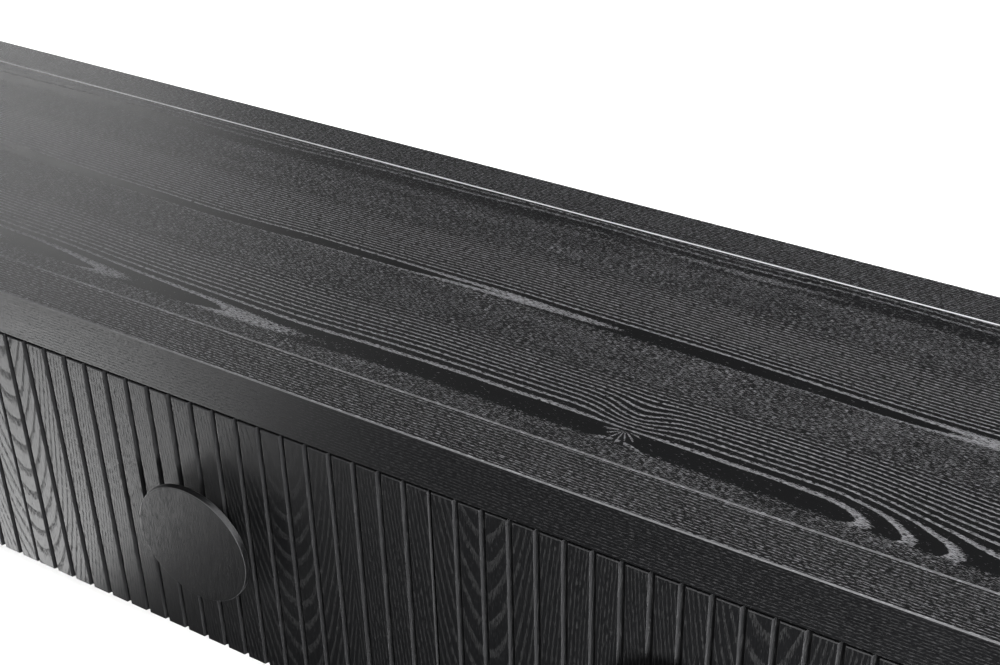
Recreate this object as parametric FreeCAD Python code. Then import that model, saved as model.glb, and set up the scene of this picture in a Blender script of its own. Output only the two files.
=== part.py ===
"""Low four-door sideboard in black open-pore oak, millimetres.

+Z is up, the doors face -Y and +X is to the right of someone facing them. The origin is the centre of
the footprint, knobs included, at floor level. Every piece is one STEP file in parts/.
"""

import FreeCAD, Part
import math
import os

V = FreeCAD.Vector

# Driving dimensions
SLAT_PITCH = 26.0
SLATS_PER_DOOR = 20
DOOR_COUNT = 4
OVERALL_WIDTH = 2180.0
BODY_DEPTH = 450.0
TOP_THICKNESS = 50.0
DOOR_ZONE_HEIGHT = 301.0
FLOOR_CLEARANCE = 150.0

# Doors
DOOR_GAP = 3.0
DOOR_THICKNESS = 22.0
DOOR_BACK_GAP = 2.0
GROOVE_WIDTH = 5.8
GROOVE_FLOOR_WIDTH = 3.8
GROOVE_DEPTH = 4.0
GROOVE_FLOOR_RISE = 0.5
ARRIS = 0.8
# How far in from its corner a quarter-round passes, as a share of its radius
ROUND_MIDDLE = 1 - math.sqrt(0.5)

# Top frame and field
FRONT_BORDER = 49.5
BACK_BORDER = 48.5
END_BORDER = 49.0
FIELD_THICKNESS = 25.0
LINE_CHAMFER = 1.2
TOP_ARRIS = 1.2

# Carcass
DIVIDER_THICKNESS = 20.0
BOTTOM_THICKNESS = 20.0
BOTTOM_SETBACK = 4.0
BACK_THICKNESS = 8.0
BACK_INSET = 12.0
SHELF_THICKNESS = 18.0
SHELF_SIDE_GAP = 1.0
SHELF_FRONT_SETBACK = 30.0
SHELF_BACK_GAP = 4.0
PIN_RADIUS = 2.5
PIN_IN_PANEL = 8.0
PIN_STANDING_OUT = 9.0
PIN_FRONT_INSET = 60.0
PIN_BACK_INSET = 45.0
PIN_HOLE_PITCH = 32.0
BACK_SCREW_RADIUS = 3.5
BACK_SCREW_HEIGHT = 2.0
BACK_SCREW_EDGE = 0.8
BACK_SCREW_FLAT = 1.8
BACK_SCREW_FROM_JOINT = 6.0
BACK_SCREW_LOW_STEP = 70.0
BACK_SCREW_MIDDLE_STEP = 15.0
BACK_SCREW_TOP_INSET = 25.0

# Knob
KNOB_RADIUS = 64.5
KNOB_STAND_OFF = 25.0
KNOB_RIM = 7.0
KNOB_STEM_RADIUS = 15.0
KNOB_STEM_LENGTH = 9.0
KNOB_ARRIS = 1.0
KNOB_HUB_LIP = 2.0
KNOB_SCREW_RADIUS = 2.0
KNOB_SCREW_HEAD = 4.5
KNOB_SCREW_HEAD_HEIGHT = 2.6
KNOB_SCREW_HEAD_BEVEL = 1.2
CROSS_HALF_LENGTH = 2.4
CROSS_HALF_WIDTH = 0.5
CROSS_DEPTH = 1.2

# Concealed hinges
CUP_RADIUS = 17.5
CUP_DEPTH = 12.0
CUP_WALL = 1.0
CUP_RIM = 0.8
CUP_FROM_EDGE = 22.5
CUP_FROM_END = 62.0
FLANGE_THICKNESS = 1.0
FLANGE_WIDTH = 20.0
FLANGE_HEIGHT = 52.0
ARM_CLEARANCE = 0.8
ARM_HEIGHT = 15.0
ARM_LENGTH = 62.0
ARM_THICKNESS = 11.0
ARM_KNUCKLE_DEPTH = 9.0
ARM_REACH = 6.0
ARM_CORNER = 4.0
ARM_TIP_BEVEL = 2.0
ARM_CRANK_RUN = 12.0
PLATE_THICKNESS = 3.0
PLATE_HEIGHT = 46.0
PLATE_LENGTH = 30.0
PLATE_FROM_FRONT = 26.0
PLATE_CORNER = 6.0
PLATE_SCREW_RADIUS = 3.4
PLATE_SCREW_HEAD = 1.4
PLATE_SCREW_EDGE = 0.5
PLATE_SCREW_BEVEL = 1.0
PLATE_SCREW_PITCH = 32.0

# Magnetic catches and door buffers
CATCH_LENGTH = 46.0
CATCH_HEIGHT = 13.0
CATCH_DEPTH = 14.0
CATCH_FROM_EDGE = 40.0
CATCH_CORNER = 2.5
POLE_STANDING_OUT = 1.5
POLE_END_INSET = 12.0
POLE_THICKNESS = 2.0
POLE_HEIGHTS = (2.0, 7.0)
STRIKE_LENGTH = 26.0
STRIKE_HEIGHT = 11.0
STRIKE_THICKNESS = 1.2
STRIKE_FROM_TOP = 6.0
STRIKE_CORNER = 2.0
CATCH_CLEARANCE = 0.5
BUFFER_RADIUS = 5.0
BUFFER_THICKNESS = 1.5
BUFFER_FROM_EDGE = 18.0
SECOND_BUFFER_SHARE = 0.55

# Legs
LEG_X = 955.0
LEG_FRONT_INSET = 78.0
LEG_BACK_INSET = 72.0
LEG_TOP_RADIUS = 25.0
LEG_FOOT_RADIUS = 16.0
LEG_SHOULDER = 10.0
LEG_FOOT_CHAMFER = 1.0
LEG_PLATE_SIZE = 84.0
LEG_PLATE_THICKNESS = 3.0
LEG_PLATE_CORNER = 10.0
GLIDE_HEIGHT = 8.0
GLIDE_RADIUS = 13.0
GLIDE_CHAMFER = 2.0
LEG_SCREW_OFFSET = 32.0
LEG_SCREW_RADIUS = 4.0
LEG_SCREW_HEAD = 2.0
LEG_SCREW_EDGE = 0.8
LEG_SCREW_BEVEL = 1.4

# Worked-out planes
MODULE = SLAT_PITCH * SLATS_PER_DOOR
LEAF_WIDTH = MODULE - DOOR_GAP
HALF_WIDTH = OVERALL_WIDTH / 2
HALF_OPENING = (MODULE * DOOR_COUNT + DOOR_GAP) / 2
FRONT = KNOB_STAND_OFF - (BODY_DEPTH + KNOB_STAND_OFF) / 2
BACK = FRONT + BODY_DEPTH
DOOR_BACK = FRONT + DOOR_THICKNESS
CARCASS_FRONT = DOOR_BACK + DOOR_BACK_GAP
BAND_BOTTOM = FLOOR_CLEARANCE + DOOR_ZONE_HEIGHT
TOP = BAND_BOTTOM + TOP_THICKNESS
DOOR_TOP = BAND_BOTTOM - DOOR_GAP
DOOR_MIDDLE = FLOOR_CLEARANCE + DOOR_ZONE_HEIGHT / 2
BOTTOM_UNDERSIDE = FLOOR_CLEARANCE + BOTTOM_SETBACK
BOTTOM_TOP = BOTTOM_UNDERSIDE + BOTTOM_THICKNESS
BACK_PANEL_FRONT = BACK - BACK_INSET - BACK_THICKNESS
SHELF_UNDERSIDE = (BOTTOM_TOP + BAND_BOTTOM - SHELF_THICKNESS) / 2
DIVIDER_X = MODULE
BAYS = {
    "left": (-HALF_OPENING, -DIVIDER_X - DIVIDER_THICKNESS / 2),
    "centre": (-DIVIDER_X + DIVIDER_THICKNESS / 2, DIVIDER_X - DIVIDER_THICKNESS / 2),
    "right": (DIVIDER_X + DIVIDER_THICKNESS / 2, HALF_OPENING),
}
# The side each door hangs on: -1 left, 1 right
HANG_SIDES = (-1, -1, 1, 1)


def save(node, *solids):
    shape = solids[0] if len(solids) == 1 else Part.makeCompound(list(solids))
    shape.exportStep("parts/" + node + ".step")


def box(x, y, z):
    """A box from three (low, high) pairs."""
    size = [high - low for low, high in (x, y, z)]
    return Part.makeBox(*size, V(x[0], y[0], z[0]))


def prism(points, travel):
    """A flat closed outline of straight edges, pushed along travel."""
    return Part.Face(Part.makePolygon(points + points[:1])).extrude(travel)


def cylinder(radius, length, centre, axis):
    return Part.makeCylinder(radius, length, centre, axis)


def turned(profile, centre, axis):
    """(radius, distance) pairs turned about an axis through centre, from the axis and back to it."""
    outline = [V(r, 0, h) for r, h in profile]
    solid = Part.Face(Part.makePolygon(outline + outline[:1])).revolve(V(), V(0, 0, 1), 360)
    solid.Placement = FreeCAD.Placement(centre, FreeCAD.Rotation(V(0, 0, 1), axis))
    return solid


def edge_wedge(corner, inward_a, inward_b, size, travel):
    """The sliver that a chamfer takes off a straight edge starting at corner."""
    skin = 1.0
    a, b = V(inward_a), V(inward_b)
    points = [
        corner - (a + b) * skin,
        corner + a * (size + skin) - b * skin,
        corner - a * skin + b * (size + skin),
    ]
    return prism(points, travel)


def both_hands(make):
    """The same piece on the left and mirrored to the right."""
    piece = make()
    return piece, piece.mirror(V(), V(1, 0, 0))


# Top: a field panel framed by four mitred rails


def rail_section(outer, inner, low, high):
    """Outline of a rail in its own (across, up) plane, softened outside and bevelled at the joint line."""
    toward = 1 if inner > outer else -1
    return [
        (outer, low),
        (outer, high - TOP_ARRIS),
        (outer + toward * TOP_ARRIS * ROUND_MIDDLE, high - TOP_ARRIS * ROUND_MIDDLE),
        (outer + toward * TOP_ARRIS, high),
        (inner - toward * LINE_CHAMFER, high),
        (inner, high - LINE_CHAMFER),
        (inner, low),
    ]


def long_rail(outer, inner):
    section = [V(-HALF_WIDTH, y, z) for y, z in rail_section(outer, inner, BAND_BOTTOM, TOP)]
    bar = prism(section, V(OVERALL_WIDTH, 0, 0))
    mitre = [
        V(-HALF_WIDTH, outer, 0),
        V(HALF_WIDTH, outer, 0),
        V(HALF_WIDTH - END_BORDER, inner, 0),
        V(-HALF_WIDTH + END_BORDER, inner, 0),
    ]
    return bar.common(prism(mitre, V(0, 0, TOP + 1)))


def end_rail():
    section = [
        V(x, FRONT, z)
        for x, z in rail_section(-HALF_WIDTH, -HALF_WIDTH + END_BORDER, BAND_BOTTOM, TOP)
    ]
    bar = prism(section, V(0, BODY_DEPTH, 0))
    mitre = [
        V(-HALF_WIDTH, FRONT, 0),
        V(-HALF_WIDTH + END_BORDER, FRONT + FRONT_BORDER, 0),
        V(-HALF_WIDTH + END_BORDER, BACK - BACK_BORDER, 0),
        V(-HALF_WIDTH, BACK, 0),
    ]
    return bar.common(prism(mitre, V(0, 0, TOP + 1)))


def field_panel():
    x0, x1 = -HALF_WIDTH + END_BORDER, HALF_WIDTH - END_BORDER
    y0, y1 = FRONT + FRONT_BORDER, BACK - BACK_BORDER
    panel = box((x0, x1), (y0, y1), (TOP - FIELD_THICKNESS, TOP))
    down = V(0, 0, -1)
    along_x, along_y = V(x1 - x0, 0, 0), V(0, y1 - y0, 0)
    for corner, inward, travel in (
        (V(x0, y0, TOP), V(0, 1, 0), along_x),
        (V(x0, y1, TOP), V(0, -1, 0), along_x),
        (V(x0, y0, TOP), V(1, 0, 0), along_y),
        (V(x1, y0, TOP), V(-1, 0, 0), along_y),
    ):
        panel = panel.cut(edge_wedge(corner, inward, down, LINE_CHAMFER, travel))
    return panel


def make_top():
    save("top_field_panel", field_panel())
    save("top_front_rail", long_rail(FRONT, FRONT + FRONT_BORDER))
    save("top_back_rail", long_rail(BACK, BACK - BACK_BORDER))
    left, right = both_hands(end_rail)
    save("top_left_rail", left)
    save("top_right_rail", right)
    inner = (-HALF_WIDTH + END_BORDER, HALF_WIDTH - END_BORDER)
    depth = (FRONT + FRONT_BORDER, BACK - BACK_BORDER)
    save("carcass_top_panel", box(inner, depth, (BAND_BOTTOM, TOP - FIELD_THICKNESS)))


# Carcass


def pin_spots():
    """(y, z) of each row of shelf-pin holes, at the height in use."""
    z = SHELF_UNDERSIDE - PIN_RADIUS
    return [(CARCASS_FRONT + PIN_FRONT_INSET, z), (BACK_PANEL_FRONT - PIN_BACK_INSET, z)]


def drill_pin_rows(panel, face_x, into):
    """Three holes to a row, so that the shelf can move up or down one step."""
    for y, z in pin_spots():
        for step in (-1, 0, 1):
            start = V(face_x, y, z + step * PIN_HOLE_PITCH)
            panel = panel.cut(cylinder(PIN_RADIUS, PIN_IN_PANEL, start, V(into, 0, 0)))
    return panel


def side_panel():
    panel = box((-HALF_WIDTH, -HALF_OPENING), (FRONT, BACK), (FLOOR_CLEARANCE, BAND_BOTTOM))
    for x, inward in ((-HALF_WIDTH, 1), (-HALF_OPENING, -1)):
        corner = V(x, FRONT, FLOOR_CLEARANCE)
        rise = V(0, 0, DOOR_ZONE_HEIGHT)
        panel = panel.cut(edge_wedge(corner, V(inward, 0, 0), V(0, 1, 0), ARRIS, rise))
    return drill_pin_rows(panel, -HALF_OPENING, -1)


def divider():
    x0, x1 = -DIVIDER_X - DIVIDER_THICKNESS / 2, -DIVIDER_X + DIVIDER_THICKNESS / 2
    panel = box((x0, x1), (CARCASS_FRONT, BACK_PANEL_FRONT), (BOTTOM_TOP, BAND_BOTTOM))
    panel = drill_pin_rows(panel, x0, 1)
    return drill_pin_rows(panel, x1, -1)


def back_panels():
    joints = (-HALF_OPENING, -DIVIDER_X, DIVIDER_X, HALF_OPENING)
    depth = (BACK_PANEL_FRONT, BACK_PANEL_FRONT + BACK_THICKNESS)
    height = (BOTTOM_UNDERSIDE, BAND_BOTTOM)
    return [box(joints[i : i + 2], depth, height) for i in range(3)]


def back_screws():
    """Pan-head screws along the bottom edge and the uprights, on the back panels' outer face."""
    y = BACK_PANEL_FRONT + BACK_THICKNESS
    low_row = BOTTOM_UNDERSIDE + BOTTOM_THICKNESS / 2
    upright_rows = (
        low_row + BACK_SCREW_LOW_STEP,
        DOOR_MIDDLE + BACK_SCREW_MIDDLE_STEP,
        BAND_BOTTOM - BACK_SCREW_TOP_INSET,
    )
    low_columns = [MODULE * (i - DOOR_COUNT + 0.5) / 2 for i in range(2 * DOOR_COUNT)]
    spots = [(x, low_row) for x in low_columns]
    for divider_x in (-DIVIDER_X, DIVIDER_X):
        for x in (divider_x - BACK_SCREW_FROM_JOINT, divider_x + BACK_SCREW_FROM_JOINT):
            spots += [(x, z) for z in upright_rows]
    profile = [
        (0, 0),
        (BACK_SCREW_RADIUS, 0),
        (BACK_SCREW_RADIUS, BACK_SCREW_EDGE),
        (BACK_SCREW_FLAT, BACK_SCREW_HEIGHT),
        (0, BACK_SCREW_HEIGHT),
    ]
    return [turned(profile, V(x, y, z), V(0, 1, 0)) for x, z in spots]


def shelf(bay):
    x0, x1 = BAYS[bay]
    across = (x0 + SHELF_SIDE_GAP, x1 - SHELF_SIDE_GAP)
    depth = (CARCASS_FRONT + SHELF_FRONT_SETBACK, BACK_PANEL_FRONT - SHELF_BACK_GAP)
    board = box(across, depth, (SHELF_UNDERSIDE, SHELF_UNDERSIDE + SHELF_THICKNESS))
    front_edges = ((SHELF_UNDERSIDE, 1), (SHELF_UNDERSIDE + SHELF_THICKNESS, -1))
    for z, inward in front_edges:
        corner = V(across[0], depth[0], z)
        travel = V(across[1] - across[0], 0, 0)
        board = board.cut(edge_wedge(corner, V(0, 1, 0), V(0, 0, inward), ARRIS, travel))
    return board


def shelf_pins():
    pins = []
    length = PIN_IN_PANEL + PIN_STANDING_OUT
    for x0, x1 in BAYS.values():
        for y, z in pin_spots():
            pins.append(cylinder(PIN_RADIUS, length, V(x0 - PIN_IN_PANEL, y, z), V(1, 0, 0)))
            pins.append(cylinder(PIN_RADIUS, length, V(x1 + PIN_IN_PANEL, y, z), V(-1, 0, 0)))
    return pins


def make_carcass():
    for node, make in (("side_panel", side_panel), ("divider", divider)):
        left, right = both_hands(make)
        save(node + "_left", left)
        save(node + "_right", right)
    bottom = box(
        (-HALF_OPENING, HALF_OPENING),
        (CARCASS_FRONT, BACK_PANEL_FRONT),
        (BOTTOM_UNDERSIDE, BOTTOM_TOP),
    )
    save("bottom_panel", bottom)
    for bay, panel in zip(BAYS, back_panels()):
        save("back_panel_" + bay, panel)
        save("shelf_" + bay, shelf(bay))
    save("back_panel_screws", *back_screws())
    save("shelf_pins", *shelf_pins())


# Doors


def groove_edges(x):
    """One routed groove at x on the front face: softened arrises, steep walls and a hollow floor."""
    mouth, floor = GROOVE_WIDTH / 2, GROOVE_FLOOR_WIDTH / 2
    knee = FRONT + ARRIS
    wall_end = FRONT + GROOVE_DEPTH - GROOVE_FLOOR_RISE
    cut_in = ARRIS * ROUND_MIDDLE
    left_lip = (V(x - mouth - ARRIS, FRONT, 0), V(x - mouth - cut_in, FRONT + cut_in, 0))
    right_lip = (V(x + mouth + cut_in, FRONT + cut_in, 0), V(x + mouth + ARRIS, FRONT, 0))
    left_knee, right_knee = V(x - mouth, knee, 0), V(x + mouth, knee, 0)
    left_foot, right_foot = V(x - floor, wall_end, 0), V(x + floor, wall_end, 0)
    return [
        Part.Arc(left_lip[0], left_lip[1], left_knee).toShape(),
        Part.LineSegment(left_knee, left_foot).toShape(),
        Part.Arc(left_foot, V(x, FRONT + GROOVE_DEPTH, 0), right_foot).toShape(),
        Part.LineSegment(right_foot, right_knee).toShape(),
        Part.Arc(right_knee, right_lip[0], right_lip[1]).toShape(),
    ]


def leaf_outline(x0, x1):
    """Plan outline of a door leaf, its grooved face to the front."""
    edges = []
    start = V(x0 + ARRIS, FRONT, 0)
    here = start
    for i in range(1, SLATS_PER_DOOR):
        groove = groove_edges(x0 - DOOR_GAP / 2 + i * SLAT_PITCH)
        edges.append(Part.LineSegment(here, groove[0].Vertexes[0].Point).toShape())
        edges += groove
        here = groove[-1].Vertexes[-1].Point
    corners = [
        V(x1 - ARRIS, FRONT, 0),
        V(x1, FRONT + ARRIS, 0),
        V(x1, DOOR_BACK, 0),
        V(x0, DOOR_BACK, 0),
        V(x0, FRONT + ARRIS, 0),
        start,
    ]
    for corner in corners:
        edges.append(Part.LineSegment(here, corner).toShape())
        here = corner
    return Part.Wire(edges)


def leaf(x0, x1, cups, knob_x):
    outline = leaf_outline(x0, x1)
    height = DOOR_TOP - FLOOR_CLEARANCE
    panel = Part.Face(outline).extrude(V(0, 0, height))
    panel.translate(V(0, 0, FLOOR_CLEARANCE))
    for z, inward in ((FLOOR_CLEARANCE, 1), (DOOR_TOP, -1)):
        corner = V(x0, FRONT, z)
        wedge = edge_wedge(corner, V(0, 1, 0), V(0, 0, inward), ARRIS, V(x1 - x0, 0, 0))
        panel = panel.cut(wedge)
    for x, z in cups:
        bore = cylinder(CUP_RADIUS, CUP_DEPTH, V(x, DOOR_BACK, z), V(0, -1, 0))
        panel = panel.cut(bore)
    knob_hole = cylinder(KNOB_SCREW_RADIUS, DOOR_THICKNESS, V(knob_x, FRONT, DOOR_MIDDLE), V(0, 1, 0))
    return panel.cut(knob_hole)


def knob_disc(x):
    """A flat disc with a rounded arris, hollowed back to the stem by a shallow cone."""
    r, a = KNOB_RADIUS, KNOB_ARRIS
    stem_end = KNOB_STAND_OFF - KNOB_STEM_LENGTH
    turns = [math.radians(angle) for angle in (0, 30, 60, 90)]
    rim_points = [(r - a + a * math.sin(t), a - a * math.cos(t)) for t in turns]
    profile = [(0, 0)] + rim_points + [
        (r, KNOB_RIM - a),
        (r - a, KNOB_RIM),
        (KNOB_STEM_RADIUS + KNOB_HUB_LIP, stem_end),
        (0, stem_end),
    ]
    disc = turned(profile, V(x, FRONT - KNOB_STAND_OFF, DOOR_MIDDLE), V(0, 1, 0))
    hole_depth = KNOB_STAND_OFF - KNOB_STEM_LENGTH - KNOB_RIM
    start = V(x, FRONT - KNOB_STEM_LENGTH, DOOR_MIDDLE)
    return disc.cut(cylinder(KNOB_SCREW_RADIUS, hole_depth, start, V(0, -1, 0)))


def knob_stem(x):
    start = V(x, FRONT - KNOB_STEM_LENGTH, DOOR_MIDDLE)
    stem = cylinder(KNOB_STEM_RADIUS, KNOB_STEM_LENGTH, start, V(0, 1, 0))
    return stem.cut(cylinder(KNOB_SCREW_RADIUS, KNOB_STEM_LENGTH, start, V(0, 1, 0)))


def knob_screw(x):
    """A pan-head screw from the back of the door, with a cross recess."""
    reach = DOOR_THICKNESS + KNOB_STAND_OFF - KNOB_RIM
    profile = [
        (0, -KNOB_SCREW_HEAD_HEIGHT),
        (KNOB_SCREW_HEAD - KNOB_SCREW_HEAD_BEVEL, -KNOB_SCREW_HEAD_HEIGHT),
        (KNOB_SCREW_HEAD, KNOB_SCREW_HEAD_BEVEL - KNOB_SCREW_HEAD_HEIGHT),
        (KNOB_SCREW_HEAD, 0),
        (KNOB_SCREW_RADIUS, 0),
        (KNOB_SCREW_RADIUS, reach),
        (0, reach),
    ]
    screw = turned(profile, V(x, DOOR_BACK, DOOR_MIDDLE), V(0, -1, 0))
    top = DOOR_BACK + KNOB_SCREW_HEAD_HEIGHT
    halves = (CROSS_HALF_LENGTH, CROSS_HALF_WIDTH)
    for half_x, half_z in (halves, halves[::-1]):
        across, up = (x - half_x, x + half_x), (DOOR_MIDDLE - half_z, DOOR_MIDDLE + half_z)
        screw = screw.cut(box(across, (top - CROSS_DEPTH, top + 1), up))
    return screw


def hinge_cup(x, z):
    """A pressed cup let into the door's back, with its flange lying on the surface."""
    barrel = cylinder(CUP_RADIUS, CUP_DEPTH, V(x, DOOR_BACK, z), V(0, -1, 0))
    flange_y = (DOOR_BACK, DOOR_BACK + FLANGE_THICKNESS)
    half = FLANGE_HEIGHT / 2 - FLANGE_WIDTH / 2
    ends = [
        cylinder(FLANGE_WIDTH / 2, FLANGE_THICKNESS, V(x, DOOR_BACK, z + side * half), V(0, 1, 0))
        for side in (-1, 1)
    ]
    bar = box((x - FLANGE_WIDTH / 2, x + FLANGE_WIDTH / 2), flange_y, (z - half, z + half))
    rim = cylinder(CUP_RADIUS + CUP_RIM, FLANGE_THICKNESS, V(x, DOOR_BACK, z), V(0, 1, 0))
    cup = barrel.fuse([bar, rim] + ends).removeSplitter()
    hollow_start = V(x, DOOR_BACK + FLANGE_THICKNESS, z)
    hollow_depth = CUP_DEPTH + FLANGE_THICKNESS - CUP_WALL
    return cup.cut(cylinder(CUP_RADIUS - CUP_WALL, hollow_depth, hollow_start, V(0, -1, 0)))


def strike_plate(x):
    z1 = DOOR_TOP - STRIKE_FROM_TOP
    height = (z1 - STRIKE_HEIGHT, z1)
    across = (x - STRIKE_LENGTH / 2, x + STRIKE_LENGTH / 2)
    plate = box(across, (DOOR_BACK, DOOR_BACK + STRIKE_THICKNESS), height)
    upright = [e for e in plate.Edges if abs(e.tangentAt(0).y) > 0.9]
    return plate.makeFillet(STRIKE_CORNER, upright)


def buffers(x_free, hang):
    z = BOTTOM_UNDERSIDE + BOTTOM_THICKNESS / 2
    spots = (x_free + hang * BUFFER_FROM_EDGE, x_free + hang * LEAF_WIDTH * SECOND_BUFFER_SHARE)
    return [cylinder(BUFFER_RADIUS, BUFFER_THICKNESS, V(x, DOOR_BACK, z), V(0, 1, 0)) for x in spots]


def door_places():
    """For each door: name, leaf edges, hinge edge, free edge, hang side and cup centres."""
    places = []
    for i, hang in enumerate(HANG_SIDES):
        x0 = -MODULE * DOOR_COUNT / 2 + i * MODULE + DOOR_GAP / 2
        x1 = x0 + LEAF_WIDTH
        hinge_x, free_x = (x0, x1) if hang < 0 else (x1, x0)
        cup_x = hinge_x - hang * CUP_FROM_EDGE
        cups = [(cup_x, FLOOR_CLEARANCE + CUP_FROM_END), (cup_x, DOOR_TOP - CUP_FROM_END)]
        places.append(("door_%d" % (i + 1), x0, x1, free_x, hang, cups))
    return places


def make_doors():
    for name, x0, x1, free_x, hang, cups in door_places():
        knob_x = (x0 + x1) / 2
        save(name + "_panel", leaf(x0, x1, cups, knob_x))
        save(name + "_knob_disc", knob_disc(knob_x))
        save(name + "_knob_stem", knob_stem(knob_x))
        save(name + "_knob_screw", knob_screw(knob_x))
        save(name + "_hinge_cups", *[hinge_cup(x, z) for x, z in cups])
        save(name + "_strike_plate", strike_plate(free_x + hang * CATCH_FROM_EDGE))
        save(name + "_buffers", *buffers(free_x, hang))


# Hinge arms, mounting plates and catches on the carcass


def hinge_face(x0, x1, hang):
    """The carcass face that a door's hinges are screwed to."""
    edge = x0 if hang < 0 else x1
    faces = [x for pair in BAYS.values() for x in pair]
    return min(faces, key=lambda x: abs(x - (edge - hang * DIVIDER_THICKNESS / 2)))


def arm(face_x, hang, cup_x, z):
    """A cranked arm from the mounting plate to just behind the cup."""
    base = face_x - hang * PLATE_THICKNESS
    back_of_arm = base - hang * ARM_THICKNESS
    tip = cup_x - hang * ARM_REACH
    y0 = DOOR_BACK + FLANGE_THICKNESS + ARM_CLEARANCE
    y1 = y0 + ARM_KNUCKLE_DEPTH
    y2 = y0 + ARM_LENGTH
    z0 = z - ARM_HEIGHT / 2
    outline = [
        V(base, y2, z0),
        V(base, y1, z0),
        V(base - hang * ARM_CORNER, y0, z0),
        V(tip, y0, z0),
        V(tip, y1 - ARM_TIP_BEVEL, z0),
        V(back_of_arm, y1 + ARM_CRANK_RUN, z0),
        V(back_of_arm, y2 - ARM_CORNER, z0),
        V(back_of_arm + hang * ARM_CORNER, y2, z0),
    ]
    return prism(outline, V(0, 0, ARM_HEIGHT))


def mounting_plate(face_x, hang, z):
    across = sorted((face_x, face_x - hang * PLATE_THICKNESS))
    y0 = CARCASS_FRONT + PLATE_FROM_FRONT
    plate = box(across, (y0, y0 + PLATE_LENGTH), (z - PLATE_HEIGHT / 2, z + PLATE_HEIGHT / 2))
    corners = [e for e in plate.Edges if abs(e.tangentAt(0).x) > 0.9]
    return plate.makeFillet(PLATE_CORNER, corners)


def plate_screws(face_x, hang, z):
    y = CARCASS_FRONT + PLATE_FROM_FRONT + PLATE_LENGTH / 2
    profile = [
        (0, 0),
        (PLATE_SCREW_RADIUS, 0),
        (PLATE_SCREW_RADIUS, PLATE_SCREW_EDGE),
        (PLATE_SCREW_RADIUS - PLATE_SCREW_BEVEL, PLATE_SCREW_HEAD),
        (0, PLATE_SCREW_HEAD),
    ]
    x = face_x - hang * PLATE_THICKNESS
    rows = (z - PLATE_SCREW_PITCH / 2, z + PLATE_SCREW_PITCH / 2)
    return [turned(profile, V(x, y, row), V(-hang, 0, 0)) for row in rows]


def catch(x):
    """A twin-pole magnetic catch under the front rail."""
    y0 = DOOR_BACK + STRIKE_THICKNESS + CATCH_CLEARANCE
    z = (BAND_BOTTOM - CATCH_HEIGHT, BAND_BOTTOM)
    half = CATCH_LENGTH / 2
    body = box((x - half, x + half), (y0 + POLE_STANDING_OUT, y0 + CATCH_DEPTH), z)
    corners = [e for e in body.Edges if abs(e.tangentAt(0).z) > 0.9]
    body = body.makeFillet(CATCH_CORNER, corners)
    across = (x - half + POLE_END_INSET, x + half - POLE_END_INSET)
    poles = [
        box(across, (y0, y0 + POLE_STANDING_OUT), (z[0] + rise, z[0] + rise + POLE_THICKNESS))
        for rise in POLE_HEIGHTS
    ]
    return body.fuse(poles)


def make_hardware():
    arms, plates, screws, catches = [], [], [], []
    for _, x0, x1, free_x, hang, cups in door_places():
        face_x = hinge_face(x0, x1, hang)
        for cup_x, z in cups:
            arms.append(arm(face_x, hang, cup_x, z))
            plates.append(mounting_plate(face_x, hang, z))
            screws += plate_screws(face_x, hang, z)
        catches.append(catch(free_x + hang * CATCH_FROM_EDGE))
    save("hinge_arms", *arms)
    save("hinge_plates", *plates)
    save("hinge_plate_screws", *screws)
    save("magnetic_catches", *catches)


# Legs


def leg_spots():
    front_y, back_y = FRONT + LEG_FRONT_INSET, BACK - LEG_BACK_INSET
    columns = (("left", -LEG_X), ("centre", 0.0), ("right", LEG_X))
    rows = (("front", front_y), ("back", back_y))
    return [(row + "_" + column, x, y) for column, x in columns for row, y in rows]


def leg(x, y):
    """A turned leg, straight at the shoulder and tapering to the foot."""
    top = BOTTOM_UNDERSIDE - LEG_PLATE_THICKNESS
    profile = [
        (0, GLIDE_HEIGHT),
        (LEG_FOOT_RADIUS - LEG_FOOT_CHAMFER, GLIDE_HEIGHT),
        (LEG_FOOT_RADIUS, GLIDE_HEIGHT + LEG_FOOT_CHAMFER),
        (LEG_TOP_RADIUS, top - LEG_SHOULDER),
        (LEG_TOP_RADIUS, top),
        (0, top),
    ]
    return turned(profile, V(x, y, 0), V(0, 0, 1))


def leg_plate(x, y):
    half = LEG_PLATE_SIZE / 2
    z = (BOTTOM_UNDERSIDE - LEG_PLATE_THICKNESS, BOTTOM_UNDERSIDE)
    plate = box((x - half, x + half), (y - half, y + half), z)
    corners = [e for e in plate.Edges if abs(e.tangentAt(0).z) > 0.9]
    return plate.makeFillet(LEG_PLATE_CORNER, corners)


def glide(x, y):
    profile = [
        (0, 0),
        (GLIDE_RADIUS - GLIDE_CHAMFER, 0),
        (GLIDE_RADIUS, GLIDE_CHAMFER),
        (GLIDE_RADIUS, GLIDE_HEIGHT),
        (0, GLIDE_HEIGHT),
    ]
    return turned(profile, V(x, y, 0), V(0, 0, 1))


def leg_screws(x, y):
    z = BOTTOM_UNDERSIDE - LEG_PLATE_THICKNESS
    r = LEG_SCREW_RADIUS
    profile = [
        (0, 0),
        (r, 0),
        (r, LEG_SCREW_EDGE),
        (r - LEG_SCREW_BEVEL, LEG_SCREW_HEAD),
        (0, LEG_SCREW_HEAD),
    ]
    signs = (-1, 1)
    return [
        turned(profile, V(x + sx * LEG_SCREW_OFFSET, y + sy * LEG_SCREW_OFFSET, z), V(0, 0, -1))
        for sx in signs
        for sy in signs
    ]


def make_legs():
    spots = leg_spots()
    for place, x, y in spots:
        save("leg_" + place, leg(x, y))
    save("leg_plates", *[leg_plate(x, y) for _, x, y in spots])
    save("leg_glides", *[glide(x, y) for _, x, y in spots])
    save("leg_screws", *[screw for _, x, y in spots for screw in leg_screws(x, y)])


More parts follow.
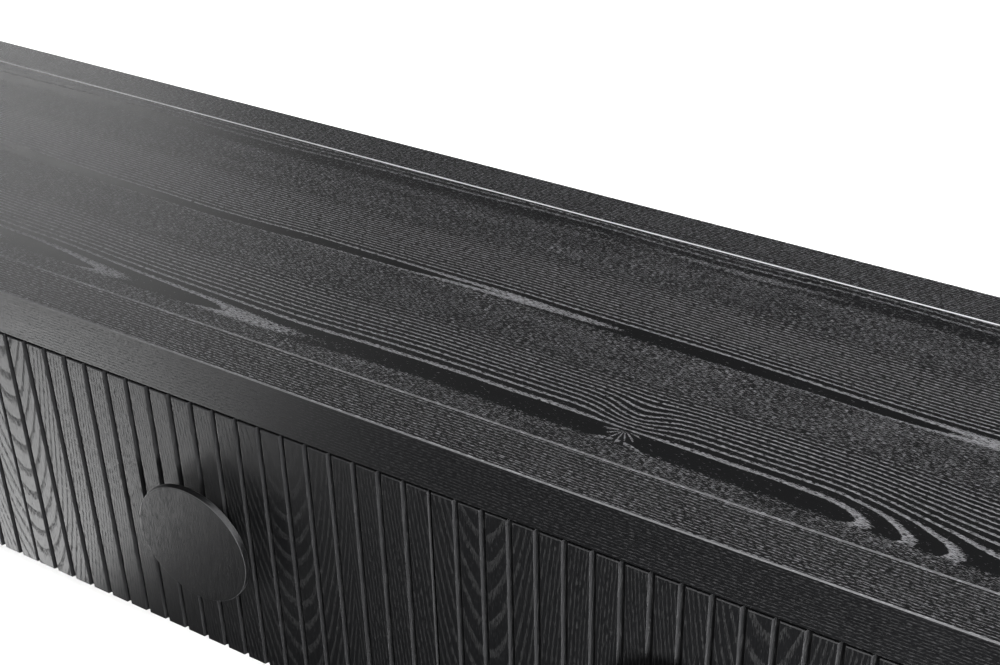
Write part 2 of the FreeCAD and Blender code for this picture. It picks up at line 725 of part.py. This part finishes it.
def main():
    os.makedirs("parts", exist_ok=True)
    make_top()
    make_carcass()
    make_doors()
    make_hardware()
    make_legs()


main()
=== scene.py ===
"""Looks of a low black oak sideboard: open-pore oak with limed pores, under soft studio light."""

import math
from collections import namedtuple

import bmesh
import bpy
from mathutils import Matrix, Vector


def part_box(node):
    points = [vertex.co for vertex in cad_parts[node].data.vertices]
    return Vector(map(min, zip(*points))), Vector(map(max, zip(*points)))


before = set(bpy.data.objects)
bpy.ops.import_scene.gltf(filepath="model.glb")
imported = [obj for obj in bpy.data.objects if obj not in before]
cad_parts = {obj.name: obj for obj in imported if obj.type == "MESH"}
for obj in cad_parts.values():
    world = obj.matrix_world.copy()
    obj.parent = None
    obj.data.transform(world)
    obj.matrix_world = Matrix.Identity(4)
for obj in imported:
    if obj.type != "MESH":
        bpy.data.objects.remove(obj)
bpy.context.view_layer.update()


# Material graphs


class Graph:
    """Builds one material. Each method adds a node and returns the socket that later calls read."""

    def __init__(self, name):
        self.material = bpy.data.materials.new(name)
        self.material.use_nodes = True
        self.tree = self.material.node_tree
        self.tree.nodes.clear()

    def node(self, kind, inputs=(), **settings):
        made = self.tree.nodes.new(kind)
        for key, value in settings.items():
            setattr(made, key, value)
        for key, value in dict(inputs).items():
            self.feed(made.inputs[key], value)
        return made

    def feed(self, socket, value):
        if isinstance(value, bpy.types.NodeSocket):
            self.tree.links.new(value, socket)
        else:
            socket.default_value = value

    def math(self, operation, *values):
        return self.node("ShaderNodeMath", enumerate(values), operation=operation).outputs[0]

    def add(self, a, b):
        return self.math("ADD", a, b)

    def times(self, a, b):
        return self.math("MULTIPLY", a, b)

    def vector(self, x, y, z):
        return self.node("ShaderNodeCombineXYZ", enumerate((x, y, z))).outputs[0]

    def waves(self, values, rates):
        """A place for noise, with each value times its rate."""
        return self.vector(*(self.times(value, rate) for value, rate in zip(values, rates)))

    def noise(self, place, detail=0.0):
        """Noise from 0 to 1 whose features are about one unit of place across."""
        inputs = {"Vector": place, "Scale": 1.0, "Detail": detail}
        return self.node("ShaderNodeTexNoise", inputs).outputs["Fac"]

    def step(self, value, low, high, start=0.0, end=1.0):
        """A smooth step from start to end as value goes from low to high."""
        inputs = {"Value": value, "From Min": low, "From Max": high, "To Min": start, "To Max": end}
        made = self.node("ShaderNodeMapRange", inputs, interpolation_type="SMOOTHSTEP")
        return made.outputs["Result"]

    def mix(self, share, a, b):
        """A number between a and b."""
        inputs = {"Factor": share, 2: a, 3: b}
        return self.node("ShaderNodeMix", inputs, data_type="FLOAT").outputs[0]

    def colour(self, share, a, b):
        inputs = {"Factor": share, 6: a, 7: b}
        return self.node("ShaderNodeMix", inputs, data_type="RGBA").outputs[2]

    def profile(self, value, stops):
        """A curve through (position, height) stops, from 0 to 1."""
        made = self.node("ShaderNodeValToRGB", {"Fac": value})
        made.color_ramp.interpolation = "EASE"
        points = made.color_ramp.elements
        while len(points) < len(stops):
            points.new(0.5)
        for point, (position, height) in zip(points, stops):
            point.position = position
            point.color = (height, height, height, 1.0)
        return made.outputs["Color"]

    def object_axes(self):
        place = self.node("ShaderNodeTexCoord").outputs["Object"]
        return self.node("ShaderNodeSeparateXYZ", {0: place}).outputs

    def bump(self, height, depth, strength=1.0):
        inputs = {"Height": height, "Distance": depth, "Strength": strength}
        return self.node("ShaderNodeBump", inputs).outputs["Normal"]

    def finish(self, **shader):
        """The surface, from Principled BSDF inputs named with underscores."""
        inputs = {key.replace("_", " "): value for key, value in shader.items()}
        surface = self.node("ShaderNodeBsdfPrincipled", inputs)
        out = self.node("ShaderNodeOutputMaterial")
        self.tree.links.new(surface.outputs[0], out.inputs[0])
        return self.material


# Black oak

# How the growth rings lie in a board. Lengths are in metres.
# stave: width of one veneer stave; origin: where the first one starts.
# last: where full-strength rings stop.
# heart: middle of the figure as a share of the stave; jitter: how far it moves from stave to stave.
# pith_depth: how deep the pith lies; ring: width of a year.
# tilt: rise of the pith per metre along the grain.
# sway and drift: how much the heart line wanders across and in depth.
# near and far: reach of clear rings.
# strength: how clear the rings are; mottle: share of pores between them.
# seed: which draw of staves.
Figure = namedtuple(
    "Figure",
    "stave origin last heart jitter sway pith_depth ring drift drift_length tilt "
    "near far strength mottle seed",
)

# Stain, pore filler and a painted highlight on the arrises. Painted shade: the filler is darker
# on faces that don't point up, and on every face of the doors.
BLACK = (0.0034, 0.0035, 0.0038, 1.0)
CHARCOAL = (0.0098, 0.0100, 0.0108, 1.0)
LIME = (0.362, 0.362, 0.376, 1.0)
# Painted shade: darker filler on faces that don't point up, standing in for weaker light there
SIDE_LIME_PAINTED_SHADE = (0.0345, 0.0348, 0.0362, 1.0)
# Painted shade: darker filler on every face of the doors and knobs
DOOR_LIME_PAINTED_SHADE = (0.030, 0.0303, 0.031, 1.0)
# Painted shade: darker filler on the front band's faces that don't point up
BAND_LIME_PAINTED_SHADE = (0.047, 0.0473, 0.0486, 1.0)
# Painted highlight: a near-white colour on the arrises, standing in for the glint of light on them
PAINTED_EDGE_HIGHLIGHT = (0.85, 0.85, 0.87, 1.0)

# Where the outer faces lie, from which the rings are measured
TOP_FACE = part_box("top_field_panel")[1].z
DOOR_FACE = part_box("door_1_panel")[0].y
LEFT_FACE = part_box("side_panel_left")[0].x
RIGHT_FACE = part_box("side_panel_right")[1].x

# Noise patterns, in waves per metre along, across and through the board. SLIDE and DRIFT_STEP are
# how far the pattern moves from stave to stave, and WANDER and MOTTLE_RANGE how much it changes.
SLIDE = 9.0
SWAY_WAVES = (3.0, 4.0, 3.7)
DRIFT_STEP = 5.3
WANDER_WAVES = (12.0, 60.0, 60.0)
MOTTLE_WAVES = (9.0, 60.0, 60.0)
FIBRE_WAVES = (25.0, 900.0, 900.0)
WANDER = 0.3
MOTTLE_RANGE = 0.35

# How the clear rings end: on the near side and after the last stave over a length, on the far side
# over a share of their reach. Beyond the last stave this share of them is left.
NEAR_FADE = 0.006
LAST_FADE = 0.01
FAR_FADE = 1.5
BEYOND_LAST = 0.5

# The edge of a stave in steps from its number, the edge of a knot's fan, and how much its rays
# wander
STAVE_EDGE = (0.4, 0.6)
FAN_EDGE = (-0.002, 0.0)
RAY_WANDER = 1.5

# Early wood over one year, as (part of the year, share of pores)
YEAR = ((0.0, 0.2), (0.06, 1.0), (0.28, 0.85), (0.48, 0.10), (0.97, 0.0))

# Noise level that a pore needs, with no early wood and with nothing else, and how soft its edge is
SPARSE, CROWDED = 0.74, 0.44
PORE_EDGE = (-0.015, 0.04)


def growth(g, u, v, w, fig, knot=None, flames=()):
    """Ring phase from 0 to 1, and how strongly the rings show."""
    stave_place = g.times(g.add(v, -fig.origin), 1 / fig.stave)
    index = g.math("FLOOR", stave_place)
    inside = g.add(stave_place, g.times(index, -1.0))
    seeded = g.add(index, fig.seed)
    draw = g.node("ShaderNodeTexWhiteNoise", {"W": seeded}, noise_dimensions="1D").outputs["Color"]
    draws = g.node("ShaderNodeSeparateColor", {0: draw}).outputs
    shift = g.times(g.add(draws[0], -0.5), -fig.jitter)
    slid = g.add(u, g.times(draws[1], SLIDE))
    from_heart = g.times(g.add(g.add(inside, -fig.heart), shift), fig.stave)
    sway_place = g.waves((slid, v, index), SWAY_WAVES)
    sway = g.times(g.add(g.noise(sway_place, 1.0), -0.5), fig.sway)
    across = g.add(from_heart, sway)
    drift_place = g.vector(g.times(slid, 1 / fig.drift_length), g.times(index, DRIFT_STEP), 0.0)
    drift = g.times(g.add(g.noise(drift_place, 1.0), -0.5), fig.drift)
    depth = g.add(g.add(g.add(w, drift), g.times(u, fig.tilt)), fig.pith_depth)
    for flame in flames:
        here = g.times(same_stave(g, index, flame.stave), flame.rise)
        depth = g.add(depth, g.times(g.step(u, flame.start, flame.end), here))
    wander_place = g.waves((slid, v, w), WANDER_WAVES)
    wander = g.times(g.add(g.noise(wander_place, 1.0), -0.5), WANDER)
    seen = across
    if knot:
        off, above, near_knot = knot_place(g, u, across, index, knot)
        seen = g.add(across, g.times(g.times(above, near_knot), knot.pinch))
    radius = g.math("SQRT", g.add(g.times(seen, seen), g.times(depth, depth)))
    phase = g.math("FRACT", g.add(g.times(radius, 1 / fig.ring), wander))
    near_side = g.step(across, -fig.near - NEAR_FADE, -fig.near)
    far_side = g.step(across, fig.far, fig.far * FAR_FADE, 1.0, 0.0)
    inside_last = g.step(v, fig.last, fig.last + LAST_FADE, 1.0, BEYOND_LAST)
    rings = g.times(g.times(g.times(near_side, far_side), inside_last), fig.strength)
    if knot:
        angle = g.math("ARCTAN2", off, g.times(above, -1.0))
        turns = g.times(angle, knot.rays / math.pi)
        ray = g.math("FRACT", g.add(turns, g.times(wander, RAY_WANDER)))
        in_fan = g.times(g.step(above, *FAN_EDGE, 1.0, 0.0), g.step(near_knot, knot.reach, 1.0))
        phase = g.mix(in_fan, phase, ray)
        rings = g.math("MAXIMUM", rings, in_fan)
    return phase, rings


def same_stave(g, index, stave):
    """One in the stave with this number, and nothing in the others."""
    return g.step(g.math("ABSOLUTE", g.add(index, -stave)), *STAVE_EDGE, 1.0, 0.0)


def knot_place(g, u, across, index, knot):
    """Where a point lies beside a small knot, along and across, and how near it is, from 0 to 1."""
    off = g.add(u, -knot.place)
    above = g.add(across, -knot.edge)
    square = g.add(g.times(off, off), g.times(above, above))
    near_knot = g.math("EXPONENT", g.times(square, -1.0 / knot.length**2))
    return off, above, g.times(near_knot, same_stave(g, index, knot.stave))


# Surface: how far a face points up before its filler loses the painted shade, how far from square
# on a face is before it gets the painted highlight of an arris, how far sideways and how deep a
# groove wall gets its painted highlight, how much of a pore the filler covers, and how pores and
# fibres change the gloss and the height
UPWARD = (0.3, 0.8)
SQUARE_ON = (0.80, 0.97)
SIDEWAYS = (0.6, 0.95)
LIT_WALL = (0.0015, 0.0032)
FILLED = 0.9
PORE_DULLS = 0.6
FIBRE_DULLS = (-0.07, 0.09)
PORE_SINKS, FIBRE_RISES = -0.8, 0.4
GRAIN_DEPTH = 0.0003
LACQUER_IOR = 1.5
LACQUER_GLOSS = 0.17


def oak(
    name,
    along,
    across,
    into,
    surface,
    fig,
    knot=None,
    flames=(),
    arris_highlight=0.0,
    groove_wall_highlight=0.0,
    side_lime_painted_shade=SIDE_LIME_PAINTED_SHADE,
    up_lime=LIME,
    pore_length=0.006,
    pore_width=0.0006,
    roughness=0.42,
    relief=0.5,
):
    """Black oak whose grain runs along one row axis; into is the axis through the board."""
    g = Graph(name)
    axes = g.object_axes()
    u, v, w = (axes["XYZ".index(axis)] for axis in (along, across, into))
    w = g.add(w, -surface)
    phase, rings = growth(g, u, v, w, fig, knot, flames)
    early = g.profile(phase, YEAR)
    mottle_place = g.waves((u, v, w), MOTTLE_WAVES)
    mottle = g.add(g.times(g.add(g.noise(mottle_place, 2.0), -0.5), MOTTLE_RANGE), fig.mottle)
    porous = g.mix(rings, mottle, early)
    pore_place = g.waves((u, v, w), (1 / pore_length, 1 / pore_width, 1 / pore_width))
    grain = g.noise(pore_place, 1.0)
    threshold = g.mix(porous, SPARSE, CROWDED)
    above = g.add(grain, g.times(threshold, -1.0))
    pore = g.step(above, *PORE_EDGE)
    fibre = g.noise(g.waves((u, v, w), FIBRE_WAVES), 1.0)
    ground = g.colour(fibre, BLACK, CHARCOAL)
    facing = g.node("ShaderNodeTexCoord").outputs["Normal"]
    normal = g.node("ShaderNodeSeparateXYZ", {0: facing}).outputs
    # Painted shade: faces that don't point up take the darker side filler
    filler_with_painted_shade = g.colour(g.step(normal[2], *UPWARD), side_lime_painted_shade, up_lime)
    colour = g.colour(g.times(pore, FILLED), ground, filler_with_painted_shade)
    # Painted highlight: arrises and chamfers, whose normals lie between the axes, turn near-white
    if arris_highlight:
        sizes = [g.math("ABSOLUTE", part) for part in normal]
        square = g.math("MAXIMUM", g.math("MAXIMUM", sizes[0], sizes[1]), sizes[2])
        colour = g.colour(g.step(square, *SQUARE_ON, arris_highlight, 0.0), colour, PAINTED_EDGE_HIGHLIGHT)
    # Painted highlight: the upper part of groove walls that face sideways takes the light filler
    if groove_wall_highlight:
        wall = g.math("ABSOLUTE", normal["XYZ".index(across)])
        lit = g.times(g.step(wall, *SIDEWAYS, 0.0, groove_wall_highlight), g.step(w, *LIT_WALL, 1.0, 0.0))
        colour = g.colour(lit, colour, LIME)
    low, high = (roughness + change for change in FIBRE_DULLS)
    dull = g.add(g.times(pore, PORE_DULLS), g.mix(fibre, low, high))
    height = g.add(g.times(pore, PORE_SINKS), g.times(fibre, FIBRE_RISES))
    return g.finish(
        Base_Color=colour,
        Roughness=dull,
        IOR=LACQUER_IOR,
        Specular_IOR_Level=LACQUER_GLOSS,
        Normal=g.bump(height, GRAIN_DEPTH, relief),
    )


# A knot: its place along the stave, how far it lies from the heart, its length, how much it
# pinches the rings, how many rays its fan has and how far they reach.
# A flame: a rise of the pith along one stave.
Knot = namedtuple("Knot", "place edge length pinch rays reach stave")
Flame = namedtuple("Flame", "stave start end rise")

# A reach or a last stave of 9 m means everywhere.
TOP_FIGURE = Figure(
    stave=0.147, origin=-0.159, last=0.125, heart=0.17, jitter=0.0, sway=0.020,
    pith_depth=0.028, ring=0.0037, drift=0.005, drift_length=0.45, tilt=0.0,
    near=0.004, far=0.065, strength=1.0, mottle=0.50, seed=3.0,
)
TOP_KNOT = Knot(place=0.134, edge=0.012, length=0.030, pinch=1.0, rays=7.0, reach=0.5, stave=0.0)
TOP_FLAMES = (
    Flame(0.0, -2.0, -1.9, 0.009),
    Flame(0.0, -0.85, -0.10, 0.013),
    Flame(0.0, 0.30, 0.47, 0.0123),
    Flame(1.0, -2.0, -1.9, -0.015),
    Flame(1.0, -0.5, 0.6, 0.007),
)
RAIL_FIGURE = Figure(
    stave=0.40, origin=-0.60, last=9.0, heart=0.5, jitter=0.1, sway=0.006,
    pith_depth=0.20, ring=0.0021, drift=0.004, drift_length=0.8, tilt=0.0,
    near=9.0, far=9.0, strength=0.6, mottle=0.50, seed=11.0,
)
DOOR_FIGURE = Figure(
    stave=0.268, origin=-0.6250, last=9.0, heart=0.5, jitter=1.0, sway=0.012,
    pith_depth=0.120, ring=0.0027, drift=0.008, drift_length=0.30, tilt=-0.09,
    near=9.0, far=9.0, strength=0.72, mottle=0.70, seed=419.0,
)
SIDE_FIGURE = Figure(
    stave=0.15, origin=-0.225, last=9.0, heart=0.5, jitter=0.5, sway=0.012,
    pith_depth=0.030, ring=0.0036, drift=0.008, drift_length=0.30, tilt=-0.03,
    near=9.0, far=9.0, strength=0.8, mottle=0.44, seed=7.0,
)
KNOB_FIGURE = Figure(
    stave=0.50, origin=-0.90, last=9.0, heart=0.5, jitter=0.1, sway=0.006,
    pith_depth=0.05, ring=0.0021, drift=0.004, drift_length=0.8, tilt=0.0,
    near=9.0, far=9.0, strength=0.5, mottle=0.75, seed=21.0,
)


# Plain finishes: waves per metre of the changes of tone, bump strength, and the range of roughness
BROAD_WAVES = 60.0
FINE_BUMP = 0.4
DULL_RANGE = (0.8, 1.2)


def plain(name, colour, roughness, metallic=0.0, speck=0.15, bump_scale=4000.0, bump_depth=0.00005):
    """A plated, painted or moulded finish: a fine grained surface with slight changes of tone."""
    g = Graph(name)
    axes = g.object_axes()
    fine = g.noise(g.waves(axes, [bump_scale] * 3), 1.0)
    broad = g.noise(g.waves(axes, [BROAD_WAVES] * 3), 2.0)
    darker = tuple(c * (1 - speck) for c in colour) + (1.0,)
    lighter = tuple(min(1.0, c * (1 + speck)) for c in colour) + (1.0,)
    tone = g.colour(broad, darker, lighter)
    low, high = (min(1.0, roughness * share) for share in DULL_RANGE)
    dull = g.mix(broad, low, high)
    return g.finish(
        Base_Color=tone,
        Roughness=dull,
        Metallic=metallic,
        Normal=g.bump(fine, bump_depth, FINE_BUMP),
    )


# Painted shade: on the doors and knobs the filler is painted dark on every face.
DOOR_FINISH_AND_PAINTED_SHADE = {"side_lime_painted_shade": DOOR_LIME_PAINTED_SHADE, "up_lime": DOOR_LIME_PAINTED_SHADE, "pore_length": 0.008, "relief": 0.7}

MATERIALS = {
    "oak_top": oak(
        "oak_top", "X", "Y", "Z", TOP_FACE, TOP_FIGURE, TOP_KNOT, TOP_FLAMES,
        arris_highlight=0.21, pore_length=0.0048, pore_width=0.00045,
    ),
    "oak_rail": oak(
        "oak_rail", "X", "Y", "Z", TOP_FACE, RAIL_FIGURE,
        arris_highlight=1.0, pore_length=0.0048, pore_width=0.00042, side_lime_painted_shade=BAND_LIME_PAINTED_SHADE,
    ),
    "oak_end_rail": oak("oak_end_rail", "Y", "X", "Z", TOP_FACE, RAIL_FIGURE, arris_highlight=0.3),
    "oak_left_side": oak("oak_left_side", "Z", "Y", "X", LEFT_FACE, SIDE_FIGURE, arris_highlight=0.15),
    "oak_right_side": oak("oak_right_side", "Z", "Y", "X", RIGHT_FACE, SIDE_FIGURE, arris_highlight=0.15),
    "oak_door": oak(
        "oak_door", "Z", "X", "Y", DOOR_FACE, DOOR_FIGURE,
        arris_highlight=0.04, groove_wall_highlight=0.065, pore_width=0.00052, **DOOR_FINISH_AND_PAINTED_SHADE,
    ),
    "oak_knob": oak(
        "oak_knob", "Z", "X", "Y", DOOR_FACE, KNOB_FIGURE,
        arris_highlight=0.11, pore_width=0.00045, **DOOR_FINISH_AND_PAINTED_SHADE,
    ),
    "oak_leg": oak("oak_leg", "Z", "X", "Y", 0.0, KNOB_FIGURE),
    "oak_board": oak("oak_board", "X", "Y", "Z", 0.0, RAIL_FIGURE),
    "oak_divider": oak("oak_divider", "Z", "Y", "X", 0.0, RAIL_FIGURE),
    "nickel": plain("nickel", (0.62, 0.60, 0.56), 0.22, 1.0, 0.06),
    "zinc": plain("zinc", (0.52, 0.53, 0.55), 0.35, 1.0, 0.12),
    "black_steel": plain("black_steel", (0.02, 0.02, 0.021), 0.5, 0.0, 0.2, 1500.0, 0.0001),
    "buffer": plain("buffer", (0.55, 0.55, 0.52), 0.3, 0.0, 0.05),
    "grey_plastic": plain("grey_plastic", (0.06, 0.06, 0.062), 0.5),
    "felt": plain("felt", (0.05, 0.05, 0.05), 0.9, 0.0, 0.3, 2500.0, 0.0004),
}

# Which material each CAD node takes: the first rule whose text is in the node's name.
RULES = (
    ("top_field_panel", "oak_top"),
    ("top_front_rail", "oak_rail"),
    ("top_back_rail", "oak_rail"),
    ("top_left_rail", "oak_end_rail"),
    ("top_right_rail", "oak_end_rail"),
    ("side_panel_left", "oak_left_side"),
    ("side_panel_right", "oak_right_side"),
    ("knob_disc", "oak_knob"),
    ("knob_stem", "oak_knob"),
    ("knob_screw", "zinc"),
    ("hinge_plate_screws", "zinc"),
    ("hinge", "nickel"),
    ("strike_plate", "nickel"),
    ("buffers", "buffer"),
    ("back_panel_screws", "zinc"),
    ("back_panel", "oak_board"),
    ("door_", "oak_door"),
    ("divider", "oak_divider"),
    ("shelf_pins", "zinc"),
    ("magnetic_catches", "grey_plastic"),
    ("leg_plates", "black_steel"),
    ("leg_glides", "felt"),
    ("leg_screws", "zinc"),
    ("leg_", "oak_leg"),
    ("", "oak_board"),
)

for node_name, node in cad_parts.items():
    finish_name = next(value for key, value in RULES if key in node_name)
    node.data.materials.clear()
    node.data.materials.append(MATERIALS[finish_name])


# Stage

FLOOR_HALF = 40.0
DOME_RADIUS = 39.0
FLOOR_TONES = (0.70, 0.73)
FLOOR_WAVES = 2.0
WASH_POWER = 7.0
WASH_SOFTNESS = 35
WASH_PLACE = (-1.0, -3.0, 4.0)
WASH_TARGET = (-0.6, 0.0, 0.0)
WORLD_COLOUR = (0.93, 0.94, 1.0, 1.0)
WORLD_POWER = 0.05

# name, place, target, size, power in watts, spread in degrees
SOFT_LIGHTS = (
    ("overhead", (0.8, 0.3, 2.6), (0.8, 0.3, 0.5), (2.4, 1.6), 11, 80),
    ("key", (0.4, -1.9, 2.5), (0.3, 0.0, 0.5), (0.9, 0.7), 34, 180),
    ("right_low", (1.5, -1.2, 0.25), (0.35, -0.2, 0.38), (0.6, 0.4), 5, 50),
    ("back_left", (-3.4, 1.7, 1.5), (-0.8, 0.0, 0.5), (2.2, 1.4), 50, 180),
    ("low_left", (-1.15, -0.75, 0.02), (-1.15, -0.75, 1.0), (0.7, 0.5), 7.0, 180),
    ("low_near", (-0.92, -0.38, 0.02), (-0.92, -0.38, 1.0), (0.7, 0.3), 6.0, 180),
    ("back_fill", (0.6, 3.0, 0.25), (0.0, 0.2, 0.25), (2.4, 0.4), 110, 180),
    ("left_side_fill", (-3.4, 0.35, 0.25), (-1.1, 0.0, 0.3), (0.7, 0.4), 30, 180),
    ("right_side_fill", (3.4, 0.35, 0.25), (1.1, 0.0, 0.3), (0.7, 0.4), 30, 180),
)


def staged(name, mesh, material):
    """A piece of the studio, which leaves no reflection in the furniture."""
    mesh.materials.append(material)
    piece = bpy.data.objects.new(name, mesh)
    bpy.context.scene.collection.objects.link(piece)
    piece.visible_glossy = False
    piece.visible_diffuse = False
    return piece


def studio_floor():
    half = FLOOR_HALF
    corners = [(-half, -half, 0), (half, -half, 0), (half, half, 0), (-half, half, 0)]
    mesh = bpy.data.meshes.new("floor")
    mesh.from_pydata(corners, [], [(0, 1, 2, 3)])
    g = Graph("floor_paint")
    tone = g.noise(g.waves(g.object_axes(), [FLOOR_WAVES] * 3), 2.0)
    darker, lighter = ((shade, shade, shade, 1.0) for shade in FLOOR_TONES)
    paint = g.colour(tone, darker, lighter)
    return staged("floor", mesh, g.finish(Base_Color=paint, Roughness=0.9))


def backdrop():
    """A white dome behind everything, seen only by the camera."""
    mesh = bpy.data.meshes.new("backdrop")
    dome = bmesh.new()
    bmesh.ops.create_uvsphere(dome, u_segments=48, v_segments=24, radius=DOME_RADIUS)
    dome.to_mesh(mesh)
    dome.free()
    g = Graph("backdrop_white")
    glow = g.node("ShaderNodeEmission", {"Color": (1.0, 1.0, 1.0, 1.0), "Strength": 1.0})
    g.tree.links.new(glow.outputs[0], g.node("ShaderNodeOutputMaterial").inputs[0])
    staged("backdrop", mesh, g.material).visible_shadow = False


def lamp(name, data, place, target):
    made = bpy.data.objects.new(name, data)
    made.location = place
    made.rotation_euler = (Vector(target) - Vector(place)).to_track_quat("-Z", "Y").to_euler()
    made.visible_camera = False
    bpy.context.scene.collection.objects.link(made)
    return made


def soft_light(name, place, target, size, power, spread):
    data = bpy.data.lights.new(name, "AREA")
    data.shape = "RECTANGLE"
    data.size, data.size_y = size
    data.energy = power
    data.spread = math.radians(spread)
    lamp(name, data, place, target)


def floor_wash(floor):
    """Lights the floor alone, from the front: it is white and keeps the furniture's soft shadow."""
    data = bpy.data.lights.new("floor_wash", "SUN")
    data.energy = WASH_POWER
    data.angle = math.radians(WASH_SOFTNESS)
    made = lamp("floor_wash", data, WASH_PLACE, WASH_TARGET)
    lit = bpy.data.collections.new("lit_by_wash")
    lit.objects.link(floor)
    made.light_linking.receiver_collection = lit


def studio():
    world = bpy.data.worlds.new("studio")
    world.use_nodes = True
    background = world.node_tree.nodes["Background"]
    background.inputs["Color"].default_value = WORLD_COLOUR
    background.inputs["Strength"].default_value = WORLD_POWER
    bpy.context.scene.world = world
    for light in SOFT_LIGHTS:
        soft_light(*light)
    floor_wash(studio_floor())
    backdrop()


# The camera, with its place measured from the gap between doors 1 and 2 and the top's front edge
CAMERA_TURN = (32.18, 32.49, -1.48)
CAMERA_PLACE = (1.1454, -0.8758, 0.8374)
SENSOR_WIDTH = 36.0
LENS = 58.54


def camera():
    """Above the right half, looking down and left across the top and the second door's knob."""
    gap = (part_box("door_1_panel")[1].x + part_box("door_2_panel")[0].x) / 2
    rail_low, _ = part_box("top_front_rail")
    azimuth, elevation, roll = (math.radians(angle) for angle in CAMERA_TURN)
    data = bpy.data.cameras.new("camera")
    data.sensor_width = SENSOR_WIDTH
    data.lens = LENS
    eye = bpy.data.objects.new("camera", data)
    turn = (
        Matrix.Rotation(azimuth, 4, "Z")
        @ Matrix.Rotation(math.pi / 2 - elevation, 4, "X")
        @ Matrix.Rotation(roll, 4, "Z")
    )
    place = Vector((gap, rail_low.y, rail_low.z)) + Vector(CAMERA_PLACE)
    eye.matrix_world = Matrix.Translation(place) @ turn
    bpy.context.scene.collection.objects.link(eye)
    bpy.context.scene.camera = eye


studio()
camera()
bpy.context.scene.view_settings.view_transform = "Standard"
